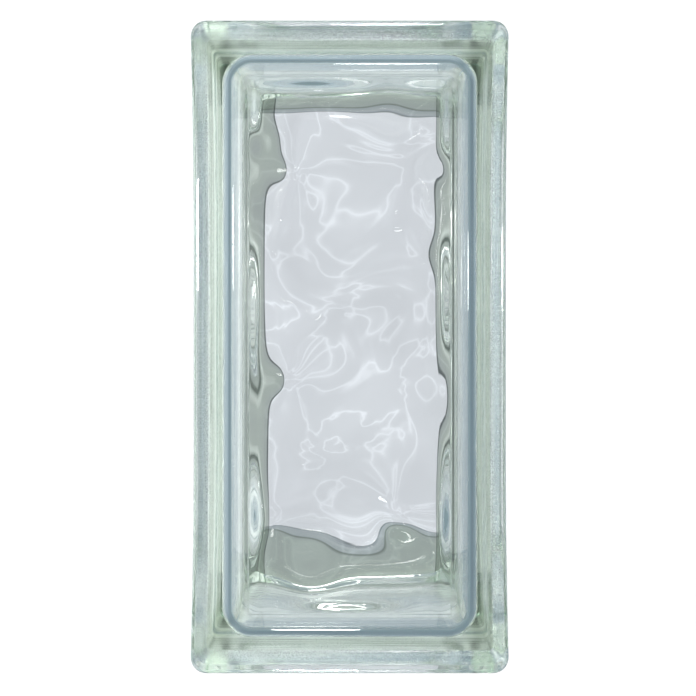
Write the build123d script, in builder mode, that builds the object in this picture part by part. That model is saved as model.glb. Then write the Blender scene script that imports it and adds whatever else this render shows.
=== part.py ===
from build123d import *
from math import atan2, cos, degrees, exp, pi, radians, sin, tan
import os

# Hollow glass block for walls and windows: two pressed glass half-shells, fused along a seam at
# mid-thickness into one piece that seals the hollow between them.
# The block lies on its back face. +X is its width, +Y its length, +Z its thickness, and the origin
# is the middle of the back face. Lengths are in millimetres, angles in degrees.

# Outside: the pressed halves keep their size at the short ends and draw in along the long sides
block_width = 96.25
block_length = 196.85
block_thickness = 79.375
side_bow = 1.0
straight_middle = 60.0
corner_radius = 5.0
face_edge_radius = 2.5

# Mortar key: the channel round all four sides, between the rims of the two faces
rim_width = 12.0
key_depth = 3.4
key_slope_width = 5.0
rim_edge_radius = 1.8
key_root_radius = 3.0

# Fused seam: the bead that squeezes out where the halves meet, along the middle of the channel
seam_width = 5.0
seam_height = 1.3

# Hollow: its walls lean out from each pane to the seam, and round off into the pane
pane_thickness = 8.0
pane_border = 15.5
pane_fillet_radius = 7.5
wall_draft = 2.0
hollow_corner_radius = 9.5

# Long waves pressed into the inner side of a pane, as (height, length, heading, phase)
wave_trains = (
    (0.55, 61, 92, 0.25),
    (0.35, 47, 0, 4.4),
    (0.17, 47, 156, 1.9),
)

# Single swells and dimples between the waves, as (x, y, spread, height), for each part of the pane
upper_left = ((-27, 62, 4, -0.9), (-16, 53, 4, 1.7), (-8, 74, 10, 1.6))
middle_left = ((-22, -13, 9, 0.7), (-17, -10, 4, 1.6))
lower_left = ((-24, -51, 5, 1.7), (-12, -65, 6, -1.3))
lower_right = ((16, -52, 5, 1.7), (29, -53, 6, 1.4), (13, -47, 5, 1.3))
upper_right = ((12, 69, 5, -0.7), (25, 55, 4, -0.8), (14, 54, 9, 0.8), (20, 28, 4, 0.6))
swells = upper_left + middle_left + lower_left + lower_right + upper_right

# The waves fade out towards the border of their area, which stands up from the pane by a fine step
wave_border = 1.0
wave_fade = 4.0
wave_step = 0.05
wave_room = 4.0
wave_grid = 3.0
wave_tolerance = 0.01

seam_level = block_thickness / 2
half_hollow_height = seam_level - pane_thickness
pane_wall = pane_border - pane_fillet_radius
seam_wall = pane_wall - half_hollow_height * tan(radians(wall_draft))
hollow_width = block_width - side_bow - 2 * seam_wall
hollow_length = block_length - 2 * seam_wall
wave_half_x = (block_width - side_bow) / 2 - pane_border - wave_border
wave_half_y = block_length / 2 - pane_border - wave_border
root_level = rim_width + key_slope_width
key_slope_angle = degrees(atan2(key_depth, key_slope_width))


def eased(distance):
    """How much of the waves is left at a distance from their border: none at the border itself."""
    share = min(max(distance / wave_fade, 0), 1)
    return share * share * (3 - 2 * share)


def waves(x, y):
    """Height of the waves, the way that thins the pane."""
    height = 0
    for rise, length, heading, phase in wave_trains:
        along = x * cos(radians(heading)) + y * sin(radians(heading))
        height += rise * sin(2 * pi * along / length + phase)
    for swell_x, swell_y, spread, rise in swells:
        height += rise * exp(-((x - swell_x) ** 2 + (y - swell_y) ** 2) / (2 * spread**2))
    return height * eased(wave_half_x - abs(x)) * eased(wave_half_y - abs(y))


def wave_face(level):
    """The waves as one smooth surface, a little wider than the area that they fill."""
    half_x = wave_half_x + wave_grid
    half_y = wave_half_y + wave_grid
    columns = round(2 * half_x / wave_grid)
    rows = round(2 * half_y / wave_grid)
    points = []
    for i in range(columns + 1):
        x = half_x * (2 * i / columns - 1)
        line = [(x, half_y * (2 * j / rows - 1)) for j in range(rows + 1)]
        points.append([(x, y, level + waves(x, y)) for x, y in line])
    return Face.make_surface_from_array_of_points(points, tol=wave_tolerance, min_deg=3, max_deg=5)


def edges_at(level):
    """The edges of the part being built that lie in a level plane."""
    return edges().filter_by_position(Axis.Z, level - 0.01, level + 0.01)


with BuildPart() as outside:
    # Outline of the faces: straight short ends, long sides that curve in to a straight middle
    with BuildSketch() as outline:
        with BuildLine():
            waist = block_width / 2 - side_bow
            middle = Line((waist, -straight_middle / 2), (waist, straight_middle / 2))
            curve = TangentArc(middle @ 1, (block_width / 2, block_length / 2), tangent=middle % 1)
            Line(curve @ 1, (0, block_length / 2))
            mirror(about=Plane.YZ)
            mirror(about=Plane.XZ)
        make_face()
        ends = vertices().group_by(Axis.Y)
        fillet(ends[0] + ends[-1], radius=corner_radius)

    # Back half: the rim, its slope down into the key, and the key's root as far as the seam
    extrude(amount=rim_width)
    extrude(faces().sort_by(Axis.Z)[-1], amount=key_slope_width, taper=key_slope_angle)
    extrude(faces().sort_by(Axis.Z)[-1], amount=seam_level - root_level)
    fillet(edges_at(0), radius=face_edge_radius)
    fillet(edges_at(rim_width), radius=rim_edge_radius)
    fillet(edges_at(root_level), radius=key_root_radius)

    # Front half
    mirror(about=Plane.XY.offset(seam_level))

    # Seam bead
    with BuildSketch(Plane.XY.offset(seam_level - seam_width / 2)):
        add(outline.sketch)
        offset(amount=seam_height - key_depth)
    extrude(amount=seam_width)

# The wavy end of the plunger that presses a half: a plug with its top cut to the waves
with BuildPart() as plug:
    with BuildSketch(Plane.XY.offset(half_hollow_height - wave_room)):
        Rectangle(2 * wave_half_x, 2 * wave_half_y)
    extrude(amount=2 * wave_room)
    split(bisect_by=wave_face(half_hollow_height + wave_step), keep=Keep.BOTH)
wavy_plug = plug.solids().sort_by(Axis.Z)[0]

# Half of the hollow, from its open seam side at Z = 0 up to the waves of one pane
with BuildPart() as half_hollow:
    with BuildSketch():
        RectangleRounded(hollow_width, hollow_length, hollow_corner_radius)
    extrude(amount=half_hollow_height, taper=wall_draft)
    fillet(faces().sort_by(Axis.Z)[-1].edges(), radius=pane_fillet_radius)
    with BuildSketch(Plane.XY.offset(half_hollow_height)):
        Rectangle(2 * wave_half_x, 2 * wave_half_y)
    extrude(amount=-wave_room, mode=Mode.SUBTRACT)
    add(wavy_plug)

# Both halves come from the same plunger. The back one is turned over about the X axis, so its waves
# lie the other way up and differ from those in front of them.
front_hollow = half_hollow.part.moved(Location((0, 0, seam_level)))
back_hollow = half_hollow.part.moved(Location((0, 0, seam_level), (180, 0, 0)))

# The block: one fused piece of glass round the sealed hollow
with BuildPart() as glass_block:
    add(outside.part)
    add(front_hollow, mode=Mode.SUBTRACT)
    add(back_hollow, mode=Mode.SUBTRACT)

os.makedirs("parts", exist_ok=True)
glass_block.part.label = "glass_block"
export_step(glass_block.part, "parts/glass_block.step")
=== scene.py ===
# Hollow glass block, lying on its back face on white paper and seen from straight above.
import math

import bpy
import numpy as np
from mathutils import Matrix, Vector


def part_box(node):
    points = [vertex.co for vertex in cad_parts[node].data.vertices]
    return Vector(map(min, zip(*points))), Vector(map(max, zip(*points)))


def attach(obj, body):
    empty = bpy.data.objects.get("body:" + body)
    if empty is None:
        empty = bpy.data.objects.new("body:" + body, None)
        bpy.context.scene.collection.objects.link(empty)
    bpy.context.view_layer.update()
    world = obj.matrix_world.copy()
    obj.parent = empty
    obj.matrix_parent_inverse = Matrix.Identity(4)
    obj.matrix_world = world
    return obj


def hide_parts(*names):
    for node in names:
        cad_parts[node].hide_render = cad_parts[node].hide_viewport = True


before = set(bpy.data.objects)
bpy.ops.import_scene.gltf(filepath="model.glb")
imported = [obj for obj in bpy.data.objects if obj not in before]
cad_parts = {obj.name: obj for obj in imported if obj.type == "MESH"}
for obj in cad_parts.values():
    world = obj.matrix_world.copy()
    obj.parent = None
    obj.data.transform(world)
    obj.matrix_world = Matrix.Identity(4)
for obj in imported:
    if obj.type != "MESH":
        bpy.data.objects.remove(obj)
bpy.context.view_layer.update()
block_low, block_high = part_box("glass_block")


# Camera: it looks straight down on the front pane, a little off the middle of the block, so that
# more of the hollow's lower wall shows than of its upper wall.
camera_height = 0.265
lens_width_ratio = 1.272
image_pixels = 696
aim_pixel = (354, 294.4)
lens_foot = (0.0013, 0.0158)

camera_data = bpy.data.cameras.new("camera")
camera = bpy.data.objects.new("camera", camera_data)
bpy.context.scene.collection.objects.link(camera)
bpy.context.scene.camera = camera
camera.location = (*lens_foot, block_high[2] + camera_height)
camera_data.lens = camera_data.sensor_width * lens_width_ratio
camera_data.shift_x = 0.5 - aim_pixel[0] / image_pixels
camera_data.shift_y = aim_pixel[1] / image_pixels - 0.5
camera_data.clip_start = 0.01


# Glass block: one piece of clear pressed glass, a faint green in its depth. Two half-shells are
# pressed, each with waves on the inner side of its pane, and fused while hot along the seam, which
# seals the hollow. The mortar key round the sides has a frosted coat that mortar keeps to.

# Outside: it is a hair narrower at the ends than the solid's outline, so that it stays inside its box
end_width = 0.09624
block_length = block_high[1] - block_low[1]
thickness = block_high[2] - block_low[2]
side_bow = 0.0010
straight_middle = 0.060
corner_radius = 0.0050
face_edge_radius = 0.0025

# Mortar key between the rims, and the bead of the fused seam along its middle
rim_width = 0.0120
key_depth = 0.0034
key_slope_width = 0.0050
rim_edge_radius = 0.0018
key_root_radius = 0.0030
seam_width = 0.0050
seam_height = 0.0013
seam_radius = 0.0006

# Sealed hollow, from one pane to the other
pane_thickness = 0.0080
pane_border = 0.0155
pane_fillet_radius = 0.0075
wall_draft = math.radians(2)
hollow_corner_radius = 0.0095

# Waves on the inner side of a pane. Trains are (height, length, heading, phase), and single swells are
# (x, y, spread, height). The back half is the same pressing, turned over about the X axis.
wave_trains = (
    (0.00055, 0.061, math.radians(92), 0.25),
    (0.00035, 0.047, 0, 4.4),
    (0.00017, 0.047, math.radians(156), 1.9),
)
upper_left = (
    (-0.027, 0.062, 0.004, -0.0009), (-0.016, 0.053, 0.004, 0.0017), (-0.008, 0.074, 0.010, 0.0016),
)
middle_left = ((-0.022, -0.013, 0.009, 0.0007), (-0.017, -0.010, 0.004, 0.0016))
lower_left = ((-0.024, -0.051, 0.005, 0.0017), (-0.012, -0.065, 0.006, -0.0013))
lower_right = (
    (0.016, -0.052, 0.005, 0.0017), (0.029, -0.053, 0.006, 0.0014), (0.013, -0.047, 0.005, 0.0013),
)
upper_right = (
    (0.012, 0.069, 0.005, -0.0007), (0.025, 0.055, 0.004, -0.0008),
    (0.014, 0.054, 0.009, 0.0008), (0.020, 0.028, 0.004, 0.0006),
)
swells = upper_left + middle_left + lower_left + lower_right + upper_right

# The waves fade out towards the border of their area, which is sunk into the pane by a fine step
wave_border = 0.001
wave_fade = 0.004
wave_step = 0.00005
wave_step_width = 0.0003

# Fineness of the skin: a strip of flat beside the rounded edge of a face, the spacing of its grid lines
# near the corners and between them, steps along its section, and a distance that counts as none
face_margin = 0.0004
face_grid_fine = 0.0003
face_grid_coarse = 0.0030
pane_grid_fine = 0.00025
pane_grid_coarse = 0.0010
arc_steps = 8
fillet_steps = 12
wall_steps = 6
hair = 1e-9


def rounded_profile(corners, radii, steps):
    """A line through corners of (outset, height), each rounded by an arc of its radius."""
    line = [corners[0]]
    for before, corner, after, radius in zip(corners, corners[1:], corners[2:], radii):
        corner = Vector(corner)
        towards = (Vector(before) - corner).normalized()
        away = (Vector(after) - corner).normalized()
        half_angle = towards.angle(away) / 2
        centre = corner + (towards + away).normalized() * radius / math.sin(half_angle)
        start = corner + towards * radius / math.tan(half_angle) - centre
        end = corner + away * radius / math.tan(half_angle) - centre
        sweep = start.angle_signed(end)
        for step in range(steps + 1):
            turn = sweep * step / steps
            spoke = Vector((start.x * math.cos(turn) + start.y * math.sin(turn),
                            start.y * math.cos(turn) - start.x * math.sin(turn)))
            line.append(tuple(centre + spoke))
    line.append(corners[-1])
    return line


def grid_lines(half, corner, fine, coarse):
    """Places of grid lines from -half to half, close together within a corner of each end."""
    few = round(corner / fine)
    many = round(2 * (half - corner) / coarse)
    start = np.linspace(-half, corner - half, few + 1)
    middle = np.linspace(corner - half, half - corner, many + 1)[1:-1]
    return np.concatenate((start, middle, -start[::-1]))


def rounded_panel(half_x, half_y, corner, fine, coarse):
    """A grid over a rounded rectangle: its points, and the grid numbers and normals of its border."""
    lines_x = grid_lines(half_x, corner, fine, coarse)
    lines_y = grid_lines(half_y, corner, fine, coarse)
    x, y = np.meshgrid(lines_x, lines_y, indexing="ij")
    over_x = np.maximum(np.abs(x) - (half_x - corner), 0)
    over_y = np.maximum(np.abs(y) - (half_y - corner), 0)
    reach = np.hypot(over_x, over_y)
    in_corner = (over_x > 0) & (over_y > 0)
    shrink = np.where(in_corner, np.maximum(over_x, over_y) / np.maximum(reach, hair), 1)
    x = np.sign(x) * (np.abs(x) - over_x + over_x * shrink)
    y = np.sign(y) * (np.abs(y) - over_y + over_y * shrink)
    last_x = len(lines_x) - 1
    last_y = len(lines_y) - 1
    border = [(i, 0) for i in range(last_x)] + [(last_x, j) for j in range(last_y)]
    border += [(i, last_y) for i in range(last_x, 0, -1)] + [(0, j) for j in range(last_y, 0, -1)]
    border = tuple(np.array(border).T)
    straight_x = ~in_corner & (half_x - np.abs(x) < hair)
    straight_y = ~in_corner & (half_y - np.abs(y) < hair) & ~straight_x
    normal_x = np.where(straight_x, np.sign(x), np.where(straight_y, 0, np.sign(x) * over_x))[border]
    normal_y = np.where(straight_y, np.sign(y), np.where(straight_x, 0, np.sign(y) * over_y))[border]
    length = np.hypot(normal_x, normal_y)
    return x, y, border, normal_x / length, normal_y / length


def drawn_in(x, y):
    """The outside's x where the long sides draw in towards their straight middle."""
    along = (np.abs(y) - straight_middle / 2) / (block_length / 2 - straight_middle / 2)
    draw = 1 - np.clip(along, 0, 1) ** 2
    return x * (1 - draw * side_bow / (end_width / 2))


def eased(share):
    """A share from 0 to 1 that starts and ends level."""
    share = np.clip(share, 0, 1)
    return share * share * (3 - 2 * share)


class Skin:
    """Points and quads of a closed skin, gathered sheet by sheet and band by band."""

    def __init__(self):
        self.points = []
        self.quads = []
        self.waves = []
        self.keyed = []
        self.count = 0

    def add(self, x, y, z, waves=0.0, keyed=0.0):
        x, y, z, waves, keyed = np.broadcast_arrays(x, y, z, waves, keyed)
        numbers = self.count + np.arange(x.size).reshape(x.shape)
        self.count += x.size
        self.points.append(np.stack((x, y, z), -1).reshape(-1, 3))
        self.waves.append(waves.ravel())
        self.keyed.append(keyed.ravel())
        return numbers

    def face(self, corners, forwards):
        corners = np.stack(corners, -1).reshape(-1, 4)
        self.quads.append(corners if forwards else corners[:, ::-1])

    def sheet(self, numbers, upwards):
        self.face((numbers[:-1, :-1], numbers[1:, :-1], numbers[1:, 1:], numbers[:-1, 1:]), upwards)

    def band(self, ring, following, outwards):
        self.face((ring, np.roll(ring, -1), np.roll(following, -1), following), outwards)

    def mesh(self, name):
        mesh = bpy.data.meshes.new(name)
        mesh.from_pydata(np.concatenate(self.points).tolist(), [], np.concatenate(self.quads).tolist())
        for attribute, parts in (("waves", self.waves), ("keyed", self.keyed)):
            layer = mesh.attributes.new(attribute, "FLOAT", "POINT")
            layer.data.foreach_set("value", np.concatenate(parts).astype(np.float32))
        mesh.shade_smooth()
        return mesh


skin = Skin()

# Outside: both faces are flat, and the section between them goes round the border of a face
half_profile = rounded_profile(
    [
        (-face_edge_radius - face_margin, 0), (0, 0), (0, rim_width),
        (-key_depth, rim_width + key_slope_width), (-key_depth, thickness / 2 - seam_width / 2),
        (seam_height - key_depth, thickness / 2 - seam_width / 2), (seam_height - key_depth, thickness / 2),
    ],
    [face_edge_radius, rim_edge_radius, key_root_radius, seam_radius, seam_radius],
    arc_steps,
)
outside_profile = half_profile + [(out, thickness - height) for out, height in half_profile[-2::-1]]
face_inset = -half_profile[0][0]
x, y, border, normal_x, normal_y = rounded_panel(
    end_width / 2 - face_inset, block_length / 2 - face_inset, corner_radius - face_inset,
    face_grid_fine, face_grid_coarse)
back_face = skin.add(drawn_in(x, y), y, 0)
front_face = skin.add(drawn_in(x, y), y, thickness)
skin.sheet(back_face, upwards=False)
skin.sheet(front_face, upwards=True)
ring = back_face[border]
slope_middle = rim_width + key_slope_width / 2
for out, height in outside_profile[1:-1]:
    out_x = x[border] + (out + face_inset) * normal_x
    out_y = y[border] + (out + face_inset) * normal_y
    in_key = slope_middle < height < thickness - slope_middle
    following = skin.add(drawn_in(out_x, out_y), out_y, height, keyed=float(in_key))
    skin.band(ring, following, outwards=True)
    ring = following
skin.band(ring, front_face[border], outwards=True)

# Hollow: each pane rounds off into walls that lean out to the seam
pane_half_x = end_width / 2 - side_bow / 2 - pane_border
pane_half_y = block_length / 2 - pane_border
x, y, border, normal_x, normal_y = rounded_panel(
    pane_half_x, pane_half_y, hollow_corner_radius - pane_fillet_radius, pane_grid_fine, pane_grid_coarse)
in_waves_x = pane_half_x - wave_border - np.abs(x)
in_waves_y = pane_half_y - wave_border - np.abs(y)
share = eased(in_waves_x / wave_fade) * eased(in_waves_y / wave_fade)
step = wave_step * eased(np.minimum(in_waves_x, in_waves_y) / wave_step_width)
hollow_profile = []
for turn in np.linspace(0, math.pi / 2 - wall_draft, fillet_steps + 1)[1:]:
    rise = pane_fillet_radius * (1 - math.cos(turn))
    hollow_profile.append((pane_fillet_radius * math.sin(turn), pane_thickness + rise))
fillet_out, fillet_top = hollow_profile[-1]
for height in np.linspace(fillet_top, thickness / 2, wall_steps + 1)[1:]:
    hollow_profile.append((fillet_out + (height - fillet_top) * math.tan(wall_draft), height))
seam_rings = []
for front in (False, True):
    pane_height = thickness - pane_thickness + step if front else pane_thickness - step
    pane = skin.add(x, y, pane_height, waves=share if front else -share)
    skin.sheet(pane, upwards=not front)
    ring = pane[border]
    for out, height in hollow_profile[:-1]:
        height = thickness - height if front else height
        following = skin.add(x[border] + out * normal_x, y[border] + out * normal_y, height)
        skin.band(ring, following, outwards=front)
        ring = following
    seam_rings.append(ring)
out, height = hollow_profile[-1]
middle = skin.add(x[border] + out * normal_x, y[border] + out * normal_y, height)
skin.band(seam_rings[0], middle, outwards=False)
skin.band(seam_rings[1], middle, outwards=True)
block_mesh = skin.mesh("glass_block_skin")


class Value:
    """A socket of a node tree that takes part in plain expressions. Without one, it only adds nodes."""

    def __init__(self, tree, socket=None):
        self.tree = tree
        self.socket = socket

    def node(self, kind, settings=(), out=0, **inputs):
        """Adds a node, first its settings and then its sockets, and gives one of its outputs back. The
        socket _0 is the first one, and any other name is a socket's own, with _ for a space."""
        made = self.tree.nodes.new(kind)
        for name, setting in dict(settings).items():
            if name == "stops":
                ramp = made.color_ramp.elements
                ramp.remove(ramp[1])
                for number, (place, colour) in enumerate(setting):
                    stop = ramp.new(place) if number else ramp[0]
                    stop.position = place
                    stop.color = colour
            else:
                setattr(made, name, setting)
        for name, given in inputs.items():
            key = int(name[1:]) if name.startswith("_") else name.replace("_", " ")
            if isinstance(given, Value):
                given.feed(made.inputs[key])
            else:
                made.inputs[key].default_value = given
        return Value(self.tree, made.outputs[out])

    def feed(self, socket):
        self.tree.links.new(self.socket, socket)

    def maths(self, operation, *others):
        terms = {f"_{number}": other for number, other in enumerate(others, 1)}
        return self.node("ShaderNodeMath", {"operation": operation}, _0=self, **terms)

    def axis(self, name):
        return self.node("ShaderNodeSeparateXYZ", out=name, _0=self)

    def clamped(self):
        return self.node("ShaderNodeClamp", Value=self)

    def ramp(self, stops):
        """The colour at this place from 0 to 1 along a row of (place, colour) stops."""
        return self.node("ShaderNodeValToRGB", {"stops": stops}, Fac=self)

    def blend(self, first, second):
        """The first colour where this share is 0, and the second where it is 1."""
        return self.node("ShaderNodeMix", {"data_type": "RGBA"}, out=2, _0=self, _6=first, _7=second)

    def stretched(self, amounts):
        """This vector or colour, multiplied by another one part by part."""
        return self.node("ShaderNodeVectorMath", {"operation": "MULTIPLY"}, _0=self, _1=amounts)

    def __add__(self, other):
        return self.maths("ADD", other)

    def __sub__(self, other):
        return self.maths("SUBTRACT", other)

    def __rsub__(self, other):
        return self.node("ShaderNodeMath", {"operation": "SUBTRACT"}, _0=other, _1=self)

    def __mul__(self, other):
        return self.maths("MULTIPLY", other)

    def __truediv__(self, other):
        return self.maths("DIVIDE", other)

    def __rtruediv__(self, other):
        return self.node("ShaderNodeMath", {"operation": "DIVIDE"}, _0=other, _1=self)

    __radd__ = __add__
    __rmul__ = __mul__


# Glass: clear, and green in its depth
refractive_index = 1.52
glass_tint = (0.90, 0.97, 0.88, 1)
glass_density = 14

# Frosted coat on the key, as its cover at places from the seam (0) to a face (1). It is densest along the
# seam and thins more towards the rims on the right. At the corners it has painted shade, a darker colour.
# It has streaks that run round the block, and a fine grain.
coat_shares = (
    (0.00, (0.70, 0.70, 0.70, 1)),
    (0.10, (0.62, 0.62, 0.62, 1)),
    (0.22, (0.34, 0.34, 0.34, 1)),
    (0.36, (0.26, 0.26, 0.26, 1)),
    (0.54, (0.26, 0.26, 0.26, 1)),
    (0.60, (0.38, 0.38, 0.38, 1)),
)
coat_shares_right = (
    (0.00, (0.75, 0.75, 0.75, 1)),
    (0.10, (0.66, 0.66, 0.66, 1)),
    (0.22, (0.32, 0.32, 0.32, 1)),
    (0.36, (0.18, 0.18, 0.18, 1)),
    (0.54, (0.18, 0.18, 0.18, 1)),
    (0.60, (0.14, 0.14, 0.14, 1)),
)
coat_change_width = 0.025
coat_colour = (0.85, 0.90, 0.86, 1)
corner_shade_colour = (0.50, 0.56, 0.47, 1)
corner_reach = 0.013
corner_change = corner_reach / 2
streak_stretch = (30.0, 30.0, 900.0)
streak_depth = 0.8
grain_scale = 2200.0
grain_depth = 0.5
frost_roughness = 0.6

glass = bpy.data.materials.new("pressed_glass")
glass.use_nodes = True
tree = glass.node_tree
nodes = Value(tree)
body = tree.nodes["Principled BSDF"]
output = tree.nodes["Material Output"]
body.inputs["Base Color"].default_value = (1, 1, 1, 1)
body.inputs["Transmission Weight"].default_value = 1
body.inputs["IOR"].default_value = refractive_index


def coat_of(colour):
    """A coat that sends half of its light back and lets the other half glow through."""
    lit = nodes.node("ShaderNodeBsdfDiffuse", Color=colour)
    glowing = nodes.node("ShaderNodeBsdfTranslucent", Color=colour)
    return nodes.node("ShaderNodeMixShader", _0=0.5, _1=lit, _2=glowing)


keyed = nodes.node("ShaderNodeAttribute", {"attribute_name": "keyed"}, out="Fac")
spot = nodes.node("ShaderNodeTexCoord", out="Object")
from_seam = (spot.axis("Z") / (thickness / 2) - 1).maths("ABSOLUTE")
right_share = (spot.axis("X") / coat_change_width + 0.5).clamped()
share = right_share.blend(from_seam.ramp(coat_shares), from_seam.ramp(coat_shares_right))
frost = keyed * share
(frost * frost_roughness).feed(body.inputs["Roughness"])
streak_spot = spot.stretched(streak_stretch)
streaks = nodes.node("ShaderNodeTexNoise", out="Fac", Vector=streak_spot, Scale=1.0, Detail=2.0)
grain = nodes.node("ShaderNodeTexNoise", out="Fac", Vector=spot, Scale=grain_scale, Detail=0.0)
cover = frost + keyed * ((streaks - 0.5) * streak_depth + (grain - 0.5) * grain_depth)
# Painted shade: the coat turns to a darker colour towards the block's corners
corner_x = spot.axis("X").maths("ABSOLUTE") - (end_width / 2 - corner_reach)
corner_y = spot.axis("Y").maths("ABSOLUTE") - (block_length / 2 - corner_reach)
corner_shade_share = (corner_x.maths("MINIMUM", corner_y) / corner_change).clamped()
coat = nodes.node("ShaderNodeMixShader", _0=corner_shade_share, _1=coat_of(coat_colour), _2=coat_of(corner_shade_colour))
surface = nodes.node("ShaderNodeMixShader", _0=cover, _1=Value(tree, body.outputs[0]), _2=coat)
surface.feed(output.inputs["Surface"])
depth = nodes.node("ShaderNodeVolumeAbsorption", Color=glass_tint, Density=glass_density)
depth.feed(output.inputs["Volume"])

# Waves: long trains that cross, with single swells and dimples between them
waves_tree = bpy.data.node_groups.new("pressed_waves", "GeometryNodeTree")
waves_inputs = {"Train Height": 1.0, "Swell Height": 1.0}
waves_tree.interface.new_socket("Geometry", in_out="INPUT", socket_type="NodeSocketGeometry")
for name in waves_inputs:
    waves_tree.interface.new_socket(name, in_out="INPUT", socket_type="NodeSocketFloat")
waves_tree.interface.new_socket("Material", in_out="INPUT", socket_type="NodeSocketMaterial")
waves_tree.interface.new_socket("Geometry", in_out="OUTPUT", socket_type="NodeSocketGeometry")
nodes = Value(waves_tree)
start = nodes.node("NodeGroupInput", out="Geometry")
train_height = nodes.node("NodeGroupInput", out="Train Height")
swell_height = nodes.node("NodeGroupInput", out="Swell Height")
material = nodes.node("NodeGroupInput", out="Material")
place = nodes.node("GeometryNodeInputPosition")
wave_share = nodes.node("GeometryNodeInputNamedAttribute", {"data_type": "FLOAT"}, Name="waves")
x_place = place.axis("X")
y_place = place.axis("Y") * wave_share.maths("SIGN")
trains = 0
for rise, length, heading, phase in wave_trains:
    turns = (x_place * math.cos(heading) + y_place * math.sin(heading)) / length
    trains = trains + rise * (turns * (2 * math.pi) + phase).maths("SINE")
swelling = 0
for swell_x, swell_y, spread, rise in swells:
    off_x = (x_place - swell_x) / spread
    off_y = (y_place - swell_y) / spread
    swelling = swelling + rise * ((off_x * off_x + off_y * off_y) * -0.5).maths("EXPONENT")
height = (trains * train_height + swelling * swell_height) * wave_share
lift = nodes.node("ShaderNodeCombineXYZ", Z=height)
waved = nodes.node("GeometryNodeSetPosition", Geometry=start, Offset=lift)
joined = nodes.node("GeometryNodeRealizeInstances", Geometry=waved)
finished = nodes.node("GeometryNodeSetMaterial", Geometry=joined, Material=material)
finished.feed(waves_tree.nodes.new("NodeGroupOutput").inputs["Geometry"])

pressing = bpy.data.objects.new("pressing", block_mesh)
bpy.context.scene.collection.objects.link(pressing)
waves = pressing.modifiers.new("waves", "NODES")
waves.node_group = waves_tree
wave_sockets = [item for item in waves_tree.interface.items_tree if item.in_out == "INPUT"]
identifiers = {item.name: item.identifier for item in wave_sockets}
for name, amount in waves_inputs.items():
    waves[identifiers[name]] = amount
waves[identifiers["Material"]] = glass
evaluated = pressing.evaluated_get(bpy.context.evaluated_depsgraph_get())
pressed_mesh = bpy.data.meshes.new_from_object(evaluated)
pressing.modifiers.remove(waves)
bpy.data.objects.remove(pressing)
block = bpy.data.objects.new("pressed_glass_block", pressed_mesh)
bpy.context.scene.collection.objects.link(block)
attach(block, "root")
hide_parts("glass_block")


# Floor: a sheet of white paper that the block lies on. Straight on it is plain white with the block's
# soft shadow. Through the glass or mirrored in it, it glows with painted light and shade: bright under the
# panes, painted shade in rings under the fillets and walls, and painted patches and strands of focused
# light.
floor_size = 6.0
floor_gap = 0.0003
paper_white = (0.80, 0.80, 0.82, 1)
plain_white = (1, 1, 1, 1)
seen_straight = 0.94

# Sheet seen through the glass: reaching a little past the block, it glows with painted light in the window
sheet_half_x = 0.052
sheet_half_y = 0.102
painted_sheet_light = (0.72, 0.75, 0.81)
window_half_x = 0.0335
window_half_y = 0.0835

# Painted shade in rings round the window, as colours at shares of their reach, beyond its sides and beyond
# its ends
shade_reach = 0.020
painted_side_shades = (
    (0.000, (1.00, 1.00, 1.00, 1)),
    (0.010, (0.10, 0.12, 0.12, 1)),
    (0.030, (0.14, 0.16, 0.15, 1)),
    (0.060, (0.50, 0.54, 0.50, 1)),
    (0.300, (0.54, 0.59, 0.52, 1)),
    (0.380, (0.82, 0.88, 0.78, 1)),
    (0.450, (0.52, 0.57, 0.50, 1)),
    (0.500, (0.12, 0.15, 0.12, 1)),
    (0.560, (0.14, 0.17, 0.14, 1)),
    (0.620, (0.42, 0.47, 0.41, 1)),
    (1.000, (0.60, 0.66, 0.58, 1)),
)
painted_end_shades = (
    (0.000, (1.00, 1.00, 1.00, 1)),
    (0.012, (0.24, 0.27, 0.27, 1)),
    (0.040, (0.52, 0.56, 0.56, 1)),
    (0.150, (0.46, 0.51, 0.49, 1)),
    (0.175, (0.18, 0.22, 0.19, 1)),
    (0.220, (0.44, 0.49, 0.44, 1)),
    (0.600, (0.46, 0.52, 0.45, 1)),
    (1.000, (0.66, 0.74, 0.62, 1)),
)

# Painted patches and strands of focused light on the sheet
patch_scale = 28.0
patch_depth = 0.35
least_painted_glow = 0.80
strand_scale = 38.0
strand_sharpness = 26
strand_depth = 0.5

# Floor beyond the sheet, seen through the glass or mirrored in it: a painted glow, darker towards the lower
# right
painted_far_light_left = (0.43, 0.54, 0.61, 1)
painted_far_light_right = (0.18, 0.25, 0.30, 1)
far_change = 1.6

half_floor = floor_size / 2
floor_mesh = bpy.data.meshes.new("floor")
floor_corners = [(-1, -1), (1, -1), (1, 1), (-1, 1)]
floor_points = [(x * half_floor, y * half_floor, -floor_gap) for x, y in floor_corners]
floor_mesh.from_pydata(floor_points, [], [(0, 1, 2, 3)])
floor = bpy.data.objects.new("floor", floor_mesh)
bpy.context.scene.collection.objects.link(floor)

paper = bpy.data.materials.new("paper")
paper.use_nodes = True
tree = paper.node_tree
tree.nodes.remove(tree.nodes["Principled BSDF"])
nodes = Value(tree)
from_camera = nodes.node("ShaderNodeLightPath", out="Is Camera Ray")
through_glass = nodes.node("ShaderNodeLightPath", out="Is Transmission Ray")
in_gloss = nodes.node("ShaderNodeLightPath", out="Is Glossy Ray")
where = nodes.node("ShaderNodeNewGeometry", out="Position")
place_x = where.axis("X")
place_y = where.axis("Y")
beyond_side = (place_x.maths("ABSOLUTE") - window_half_x) / shade_reach
beyond_end = (place_y.maths("ABSOLUTE") - window_half_y) / shade_reach
# Painted shade: these rings darken the sheet where the fillets and walls would shade it
painted_ring_shade = beyond_side.ramp(painted_side_shades).stretched(beyond_end.ramp(painted_end_shades))
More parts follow.
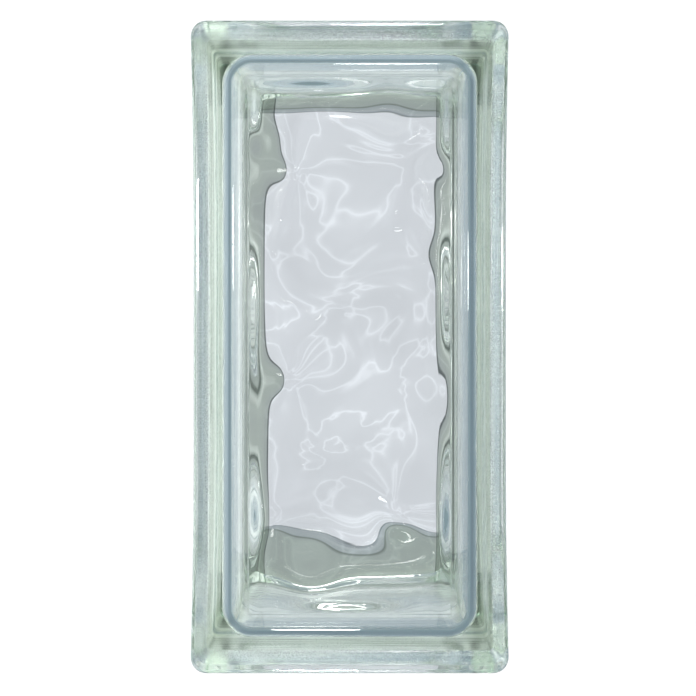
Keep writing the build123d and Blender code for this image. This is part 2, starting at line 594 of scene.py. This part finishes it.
# Painted light: noise patches and sharp strands brighten the sheet, like light focused by the waved panes
patches = nodes.node(
    "ShaderNodeTexNoise", out="Fac", Vector=where, Scale=patch_scale, Detail=3.0, Distortion=0.8)
strands = nodes.node(
    "ShaderNodeTexNoise", out="Fac", Vector=where, Scale=strand_scale, Detail=2.0, Distortion=1.6)
crest = (1 - (strands - 0.5).maths("ABSOLUTE") * 2).maths("POWER", strand_sharpness)
glow = patches * patch_depth + least_painted_glow + crest * patches * strand_depth
# The sheet's glow is painted light, a bright emission within the window
painted_lit_sheet = nodes.node("ShaderNodeVectorMath", {"operation": "SCALE"}, _0=painted_sheet_light, Scale=glow)
on_sheet = place_x.maths("COMPARE", 0, sheet_half_x) * place_y.maths("COMPARE", 0, sheet_half_y)
# Painted light: the far floor glows, and the glow fades towards the lower right
right_share = ((place_x - place_y) * far_change + 0.5).clamped()
painted_far_light = right_share.blend(painted_far_light_left, painted_far_light_right)
shade = on_sheet.blend(painted_far_light, painted_lit_sheet.stretched(painted_ring_shade))
lit = nodes.node("ShaderNodeBsdfDiffuse", Color=paper_white)
plain = nodes.node("ShaderNodeEmission", Color=plain_white)
shaded = nodes.node(
    "ShaderNodeBsdfPrincipled", Base_Color=(0, 0, 0, 1), Specular_IOR_Level=0.0, Emission_Color=shade,
    Emission_Strength=1.0)
behind_glass = in_gloss.maths("MAXIMUM", through_glass)
under = nodes.node("ShaderNodeMixShader", _0=behind_glass, _1=lit, _2=shaded)
surface = nodes.node("ShaderNodeMixShader", _0=from_camera * seen_straight, _1=under, _2=plain)
surface.feed(tree.nodes["Material Output"].inputs["Surface"])
floor_mesh.materials.append(paper)


# Light: a dim, slightly blue studio with four small softboxes round the block. The colours are from the
# horizon (0) to straight above (1), and the camera itself sees plain white.
sky_bands = (
    (0.00, (0.11, 0.16, 0.20, 1)),
    (0.08, (0.20, 0.29, 0.34, 1)),
    (0.40, (0.26, 0.34, 0.38, 1)),
    (1.00, (0.33, 0.34, 0.36, 1)),
)

# Softboxes, as (name, power in watts, diameter, place)
softboxes = (
    ("left_softbox", 28, 0.16, (-0.80, 0.10, 0.75)),
    ("right_softbox", 9, 0.12, (0.95, 0.05, 0.55)),
    ("upper_softbox", 13.5, 0.16, (0.05, 0.90, 0.75)),
    ("lower_softbox", 11, 0.12, (-0.05, -1.00, 0.45)),
)

world = bpy.data.worlds.new("studio")
bpy.context.scene.world = world
world.use_nodes = True
tree = world.node_tree
nodes = Value(tree)
from_camera = nodes.node("ShaderNodeLightPath", out="Is Camera Ray")
sky = nodes.node("ShaderNodeTexCoord", out="Generated").axis("Z").ramp(sky_bands)
from_camera.blend(sky, plain_white).feed(tree.nodes["Background"].inputs["Color"])

block_middle = Vector((0, 0, thickness / 2))
for name, power, size, place in softboxes:
    light = bpy.data.lights.new(name, "AREA")
    light.shape = "DISK"
    light.energy = power
    light.size = size
    softbox = bpy.data.objects.new(name, light)
    bpy.context.scene.collection.objects.link(softbox)
    softbox.location = place
    softbox.rotation_euler = (block_middle - softbox.location).to_track_quat("-Z", "Y").to_euler()

glass_bounces = 24
scene = bpy.context.scene
scene.view_settings.view_transform = "Standard"
scene.cycles.max_bounces = glass_bounces
scene.cycles.glossy_bounces = glass_bounces
scene.cycles.transmission_bounces = glass_bounces
scene.cycles.transparent_max_bounces = glass_bounces
scene.cycles.diffuse_bounces = 3
scene.cycles.use_denoising = True
